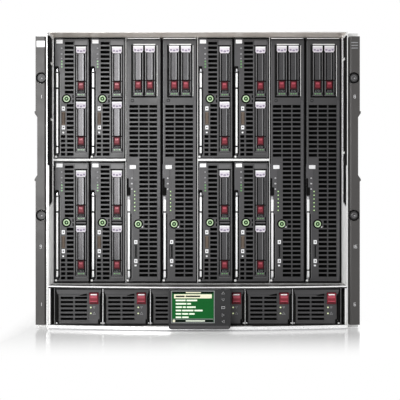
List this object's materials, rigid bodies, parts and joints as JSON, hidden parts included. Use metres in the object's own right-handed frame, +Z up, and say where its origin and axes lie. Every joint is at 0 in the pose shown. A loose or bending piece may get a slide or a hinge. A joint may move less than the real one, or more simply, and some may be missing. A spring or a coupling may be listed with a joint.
{
  "type": "blade server chassis",
  "caption": "Ten-unit rack enclosure with half-height and full-height blades above a bowed bay of power supplies and a sliding tilt display.",
  "frame": {"origin": "middle of the underside of the sleeve", "axes": "+Z up, the front faces -Y, +X to the right seen from the front"},
  "size_m": [0.4856, 0.8496, 0.442],
  "materials": {
    "zinc_sheet": "zinc-plated sheet, satin",
    "graphite_plastic": "moulded graphite plastic, fine grain",
    "black_plastic": "moulded black plastic",
    "black_steel": "black coated steel",
    "bright_lever": "bright anodised lever",
    "drive_grey": "grey moulded carrier",
    "release_maroon": "gloss maroon touch point",
    "button_green": "lit ring, pale green",
    "tab_brown": "brown pull tab",
    "board_green": "printed circuit board",
    "screen_green": "lit screen",
    "label_white": "blank pale label plate"
  },
  "bodies": {
    "enclosure": {"enclosure_shell": "zinc_sheet", "side_liners": "zinc_sheet", "bay_dividers": "zinc_sheet", "power_cage": "zinc_sheet", "ear_left": "graphite_plastic", "ear_right": "graphite_plastic", "ear_screws": "black_steel", "midplane": "board_green", "rear_cage": "zinc_sheet", "fan_modules": "graphite_plastic", "interconnect_modules": "zinc_sheet", "admin_modules": "zinc_sheet", "power_inlets": "black_plastic", "power_supply_3": "graphite_plastic", "power_supply_3_bail": "graphite_plastic", "power_supply_4": "graphite_plastic", "power_supply_4_bail": "graphite_plastic"},
    "half_blade_1_upper": {"half_blade_1_upper": "graphite_plastic"},
    "half_blade_1_upper_lever": {"half_blade_1_upper_lever": "bright_lever"},
    "half_blade_1_upper_drive_1": {"half_blade_1_upper_drive_1": "drive_grey"},
    "half_blade_1_upper_drive_2": {"half_blade_1_upper_drive_2": "drive_grey"},
    "half_blade_1_upper_power_button": {"half_blade_1_upper_power_button": "button_green"},
    "half_blade_1_upper_pull_tab": {"half_blade_1_upper_pull_tab": "tab_brown"},
    "full_blade_4": {"full_blade_4": "graphite_plastic"},
    "full_blade_4_lever": {"full_blade_4_lever": "bright_lever"},
    "full_blade_4_drive_1": {"full_blade_4_drive_1": "drive_grey"},
    "full_blade_4_drive_2": {"full_blade_4_drive_2": "drive_grey"},
    "full_blade_4_power_button": {"full_blade_4_power_button": "button_green"},
    "full_blade_4_pull_tab": {"full_blade_4_pull_tab": "tab_brown"},
    "display_carriage": {"display_carriage": "black_steel"},
    "display_head": {"display_head": "graphite_plastic"},
    "display_select_key": {"display_select_key": "black_plastic"},
    "power_supply_1": {"power_supply_1": "graphite_plastic"},
    "power_supply_1_bail": {"power_supply_1_bail": "graphite_plastic"},
    "power_supply_2": {"power_supply_2": "graphite_plastic"},
    "power_supply_2_bail": {"power_supply_2_bail": "graphite_plastic"},
    "power_supply_5": {"power_supply_5": "graphite_plastic"},
    "power_supply_5_bail": {"power_supply_5_bail": "graphite_plastic"},
    "power_supply_6": {"power_supply_6": "graphite_plastic"},
    "power_supply_6_bail": {"power_supply_6_bail": "graphite_plastic"},
    "half_blade_1_lower": {"half_blade_1_lower": "graphite_plastic"},
    "half_blade_1_lower_lever": {"half_blade_1_lower_lever": "bright_lever"},
    "half_blade_2_upper": {"half_blade_2_upper": "graphite_plastic"},
    "half_blade_2_upper_lever": {"half_blade_2_upper_lever": "bright_lever"},
    "half_blade_2_lower": {"half_blade_2_lower": "graphite_plastic"},
    "half_blade_2_lower_lever": {"half_blade_2_lower_lever": "bright_lever"},
    "half_blade_5_upper": {"half_blade_5_upper": "graphite_plastic"},
    "half_blade_5_upper_lever": {"half_blade_5_upper_lever": "bright_lever"},
    "half_blade_5_lower": {"half_blade_5_lower": "graphite_plastic"},
    "half_blade_5_lower_lever": {"half_blade_5_lower_lever": "bright_lever"},
    "half_blade_6_upper": {"half_blade_6_upper": "graphite_plastic"},
    "half_blade_6_upper_lever": {"half_blade_6_upper_lever": "bright_lever"},
    "half_blade_6_lower": {"half_blade_6_lower": "graphite_plastic"},
    "half_blade_6_lower_lever": {"half_blade_6_lower_lever": "bright_lever"},
    "full_blade_3": {"full_blade_3": "graphite_plastic"},
    "full_blade_3_lever": {"full_blade_3_lever": "bright_lever"},
    "full_blade_7": {"full_blade_7": "graphite_plastic"},
    "full_blade_7_lever": {"full_blade_7_lever": "bright_lever"},
    "full_blade_8": {"full_blade_8": "graphite_plastic"},
    "full_blade_8_lever": {"full_blade_8_lever": "bright_lever"}
  },
  "joints": [
    {"name": "half_blade_1_upper_slide", "type": "slide", "parent": "enclosure", "child": "half_blade_1_upper", "axis": [0, -1, 0], "range_m": [0, 0.56]},
    {"name": "half_blade_1_upper_lever_swing", "type": "hinge", "parent": "half_blade_1_upper", "child": "half_blade_1_upper_lever", "pos_m": [-0.21635, -0.3539, 0.26235], "axis": [1, 0, 0], "range_deg": [0, 65]},
    {"name": "half_blade_1_upper_drive_1_slide", "type": "slide", "parent": "half_blade_1_upper", "child": "half_blade_1_upper_drive_1", "axis": [0, -1, 0], "range_m": [0, 0.115]},
    {"name": "half_blade_1_upper_drive_2_slide", "type": "slide", "parent": "half_blade_1_upper", "child": "half_blade_1_upper_drive_2", "axis": [0, -1, 0], "range_m": [0, 0.115]},
    {"name": "half_blade_1_upper_power_button_press", "type": "slide", "parent": "half_blade_1_upper", "child": "half_blade_1_upper_power_button", "axis": [0, 1, 0], "range_m": [0, 0.0015], "stiffness_N_per_m": 600},
    {"name": "half_blade_1_upper_pull_tab_slide", "type": "slide", "parent": "half_blade_1_upper", "child": "half_blade_1_upper_pull_tab", "axis": [0, -1, 0], "range_m": [0, 0.06]},
    {"name": "full_blade_4_slide", "type": "slide", "parent": "enclosure", "child": "full_blade_4", "axis": [0, -1, 0], "range_m": [0, 0.56]},
    {"name": "full_blade_4_lever_swing", "type": "hinge", "parent": "full_blade_4", "child": "full_blade_4_lever", "pos_m": [-0.05105, -0.3539, 0.0723], "axis": [1, 0, 0], "range_deg": [0, 65]},
    {"name": "full_blade_4_drive_1_slide", "type": "slide", "parent": "full_blade_4", "child": "full_blade_4_drive_1", "axis": [0, -1, 0], "range_m": [0, 0.115]},
    {"name": "full_blade_4_drive_2_slide", "type": "slide", "parent": "full_blade_4", "child": "full_blade_4_drive_2", "axis": [0, -1, 0], "range_m": [0, 0.115]},
    {"name": "full_blade_4_power_button_press", "type": "slide", "parent": "full_blade_4", "child": "full_blade_4_power_button", "axis": [0, 1, 0], "range_m": [0, 0.0015], "stiffness_N_per_m": 600},
    {"name": "full_blade_4_pull_tab_slide", "type": "slide", "parent": "full_blade_4", "child": "full_blade_4_pull_tab", "axis": [0, -1, 0], "range_m": [0, 0.06]},
    {"name": "display_slide", "type": "slide", "parent": "enclosure", "child": "display_carriage", "axis": [1, 0, 0], "range_m": [-0.046, 0.046]},
    {"name": "display_tilt", "type": "hinge", "parent": "display_carriage", "child": "display_head", "pos_m": [0.0026, -0.4355, 0.056], "axis": [-1, 0, 0], "range_deg": [0, 90]},
    {"name": "select_key_press", "type": "slide", "parent": "display_head", "child": "display_select_key", "axis": [0, 1, 0], "range_m": [0, 0.0008], "stiffness_N_per_m": 400},
    {"name": "power_supply_1_slide", "type": "slide", "parent": "enclosure", "child": "power_supply_1", "axis": [0, -1, 0], "range_m": [0, 0.72]},
    {"name": "power_supply_1_bail_swing", "type": "hinge", "parent": "power_supply_1", "child": "power_supply_1_bail", "pos_m": [-0.1765, -0.4055, 0.0119], "axis": [1, 0, 0], "range_deg": [0, 85]},
    {"name": "power_supply_2_slide", "type": "slide", "parent": "enclosure", "child": "power_supply_2", "axis": [0, -1, 0], "range_m": [0, 0.72]},
    {"name": "power_supply_2_bail_swing", "type": "hinge", "parent": "power_supply_2", "child": "power_supply_2_bail", "pos_m": [-0.1059, -0.4055, 0.0119], "axis": [1, 0, 0], "range_deg": [0, 85]},
    {"name": "power_supply_5_slide", "type": "slide", "parent": "enclosure", "child": "power_supply_5", "axis": [0, 1, 0], "range_m": [-0.72, 0]},
    {"name": "power_supply_5_bail_swing", "type": "hinge", "parent": "power_supply_5", "child": "power_supply_5_bail", "pos_m": [0.1059, -0.4055, 0.0119], "axis": [-1, 0, 0], "range_deg": [-85, 0]},
    {"name": "power_supply_6_slide", "type": "slide", "parent": "enclosure", "child": "power_supply_6", "axis": [0, -1, 0], "range_m": [0, 0.72]},
    {"name": "power_supply_6_bail_swing", "type": "hinge", "parent": "power_supply_6", "child": "power_supply_6_bail", "pos_m": [0.1765, -0.4055, 0.0119], "axis": [1, 0, 0], "range_deg": [0, 85]},
    {"name": "half_blade_1_lower_slide", "type": "slide", "parent": "enclosure", "child": "half_blade_1_lower", "axis": [0, -1, 0], "range_m": [0, 0.56]},
    {"name": "half_blade_1_lower_lever_swing", "type": "hinge", "parent": "half_blade_1_lower", "child": "half_blade_1_lower_lever", "pos_m": [-0.21635, -0.3539, 0.0723], "axis": [1, 0, 0], "range_deg": [0, 65]},
    {"name": "half_blade_2_upper_slide", "type": "slide", "parent": "enclosure", "child": "half_blade_2_upper", "axis": [0, -1, 0], "range_m": [0, 0.56]},
    {"name": "half_blade_2_upper_lever_swing", "type": "hinge", "parent": "half_blade_2_upper", "child": "half_blade_2_upper_lever", "pos_m": [-0.16125, -0.3539, 0.26235], "axis": [1, 0, 0], "range_deg": [0, 65]},
    {"name": "half_blade_2_lower_slide", "type": "slide", "parent": "enclosure", "child": "half_blade_2_lower", "axis": [0, -1, 0], "range_m": [0, 0.56]},
    {"name": "half_blade_2_lower_lever_swing", "type": "hinge", "parent": "half_blade_2_lower", "child": "half_blade_2_lower_lever", "pos_m": [-0.16125, -0.3539, 0.0723], "axis": [1, 0, 0], "range_deg": [0, 65]},
    {"name": "half_blade_5_upper_slide", "type": "slide", "parent": "enclosure", "child": "half_blade_5_upper", "axis": [0, -1, 0], "range_m": [0, 0.56]},
    {"name": "half_blade_5_upper_lever_swing", "type": "hinge", "parent": "half_blade_5_upper", "child": "half_blade_5_upper_lever", "pos_m": [0.00405, -0.3539, 0.26235], "axis": [1, 0, 0], "range_deg": [0, 65]},
    {"name": "half_blade_5_lower_slide", "type": "slide", "parent": "enclosure", "child": "half_blade_5_lower", "axis": [0, -1, 0], "range_m": [0, 0.56]},
    {"name": "half_blade_5_lower_lever_swing", "type": "hinge", "parent": "half_blade_5_lower", "child": "half_blade_5_lower_lever", "pos_m": [0.00405, -0.3539, 0.0723], "axis": [1, 0, 0], "range_deg": [0, 65]},
    {"name": "half_blade_6_upper_slide", "type": "slide", "parent": "enclosure", "child": "half_blade_6_upper", "axis": [0, -1, 0], "range_m": [0, 0.56]},
    {"name": "half_blade_6_upper_lever_swing", "type": "hinge", "parent": "half_blade_6_upper", "child": "half_blade_6_upper_lever", "pos_m": [0.05915, -0.3539, 0.26235], "axis": [1, 0, 0], "range_deg": [0, 65]},
    {"name": "half_blade_6_lower_slide", "type": "slide", "parent": "enclosure", "child": "half_blade_6_lower", "axis": [0, -1, 0], "range_m": [0, 0.56]},
    {"name": "half_blade_6_lower_lever_swing", "type": "hinge", "parent": "half_blade_6_lower", "child": "half_blade_6_lower_lever", "pos_m": [0.05915, -0.3539, 0.0723], "axis": [1, 0, 0], "range_deg": [0, 65]},
    {"name": "full_blade_3_slide", "type": "slide", "parent": "enclosure", "child": "full_blade_3", "axis": [0, -1, 0], "range_m": [0, 0.56]},
    {"name": "full_blade_3_lever_swing", "type": "hinge", "parent": "full_blade_3", "child": "full_blade_3_lever", "pos_m": [-0.10615, -0.3539, 0.0723], "axis": [1, 0, 0], "range_deg": [0, 65]},
    {"name": "full_blade_7_slide", "type": "slide", "parent": "enclosure", "child": "full_blade_7", "axis": [0, -1, 0], "range_m": [0, 0.56]},
    {"name": "full_blade_7_lever_swing", "type": "hinge", "parent": "full_blade_7", "child": "full_blade_7_lever", "pos_m": [0.11425, -0.3539, 0.0723], "axis": [1, 0, 0], "range_deg": [0, 65]},
    {"name": "full_blade_8_slide", "type": "slide", "parent": "enclosure", "child": "full_blade_8", "axis": [0, -1, 0], "range_m": [0, 0.56]},
    {"name": "full_blade_8_lever_swing", "type": "hinge", "parent": "full_blade_8", "child": "full_blade_8_lever", "pos_m": [0.16935, -0.3539, 0.0723], "axis": [1, 0, 0], "range_deg": [0, 65]}
  ]
}
